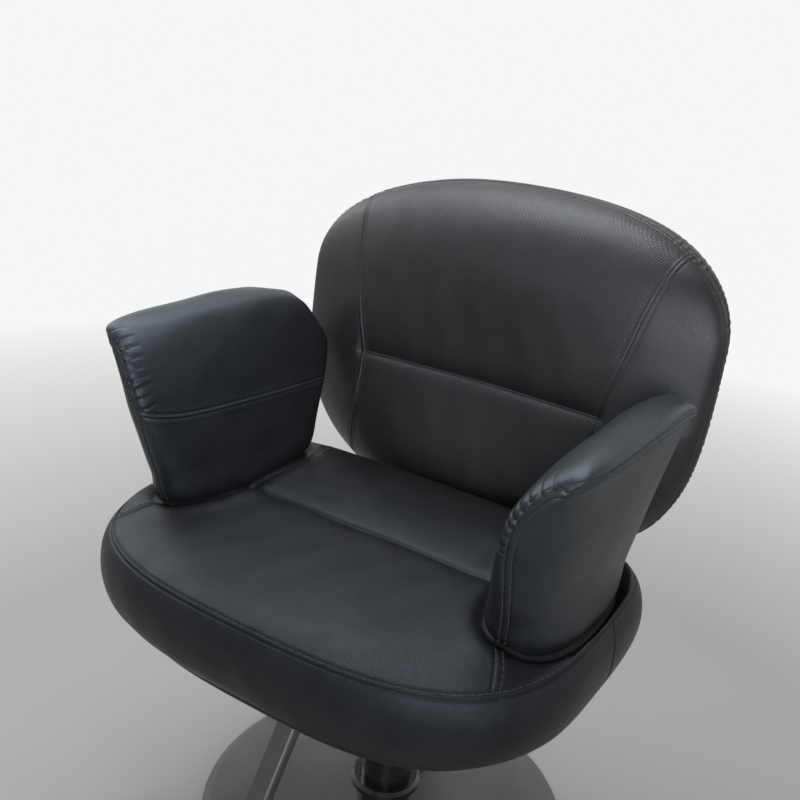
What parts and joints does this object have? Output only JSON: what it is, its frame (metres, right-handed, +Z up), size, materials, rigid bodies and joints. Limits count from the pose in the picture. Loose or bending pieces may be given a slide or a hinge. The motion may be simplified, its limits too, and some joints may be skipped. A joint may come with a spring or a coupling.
{
  "type": "barber chair",
  "caption": "Salon styling chair with a padded seat, wing arms and a rounded back on a foot pumped column and a round base, with a T shaped footrest.",
  "frame": {"origin": "on the floor, on the axis of the pump column", "axes": "+Z up, the chair faces -Y, +X to the sitter's left"},
  "size_m": [0.7036, 0.7365, 0.973],
  "materials": {
    "rubber": "matte",
    "black_coat": "satin",
    "gloss_black": "gloss",
    "steel": "satin",
    "polished_steel": "polished",
    "bronze": "machined",
    "plywood": "raw",
    "black_leather": "satin",
    "dust_fabric": "matte"
  },
  "bodies": {
    "base": {"floor_pad": "rubber", "base_plate": "black_coat", "pump_flange": "steel", "flange_bolts": "steel", "pump_housing": "gloss_black", "pump_collar": "gloss_black", "pump_cylinder": "steel", "cylinder_gland": "bronze", "pedal_pin": "steel", "plunger_spring": "steel"},
    "pedal": {"pedal_lever": "black_coat", "pedal_pad": "rubber"},
    "plunger": {"pump_plunger": "polished_steel"},
    "lift": {"piston": "steel", "piston_rod": "polished_steel", "pump_sleeve": "gloss_black", "lift_head": "gloss_black", "thrust_washer": "bronze"},
    "seat": {"seat_bracket": "black_coat", "bracket_bolts": "steel", "seat_board": "plywood", "seat_cushion": "black_leather", "underside_cover": "dust_fabric", "left_arm_frame": "black_coat", "right_arm_frame": "black_coat", "left_arm_cushion": "black_leather", "right_arm_cushion": "black_leather", "arm_bolts": "steel", "back_board": "plywood", "back_cushion": "black_leather", "back_cover": "black_leather", "left_back_bar": "black_coat", "right_back_bar": "black_coat", "back_bolts": "steel", "bar_bolts": "steel", "footrest_bracket": "black_coat", "footrest_tube": "black_coat", "footrest_crossbar": "black_coat", "footrest_grips": "rubber", "crossbar_caps": "rubber", "footrest_bolts": "steel"}
  },
  "joints": [
    {"name": "pump_lift", "type": "slide", "parent": "base", "child": "lift", "axis": [0, 0, 1], "range_m": [0, 0.15]},
    {"name": "seat_swivel", "type": "hinge", "parent": "lift", "child": "seat", "pos_m": [0, 0, 0.369], "axis": [0, 0, 1], "continuous": true},
    {"name": "foot_pedal", "type": "hinge", "parent": "base", "child": "pedal", "pos_m": [0, 0.07, 0.06], "axis": [-1, 0, 0], "range_deg": [0, 9], "stiffness_Nm_per_rad": 20, "springref_deg": -6.88},
    {"name": "plunger_stroke", "type": "slide", "parent": "base", "child": "plunger", "axis": [0, 0, -1], "range_m": [0, 0.005], "deforming": ["plunger_spring"]}
  ],
  "couplings": [
    {"joint": "plunger_stroke", "follows": "foot_pedal", "m_per_rad": 0.0315}
  ]
}
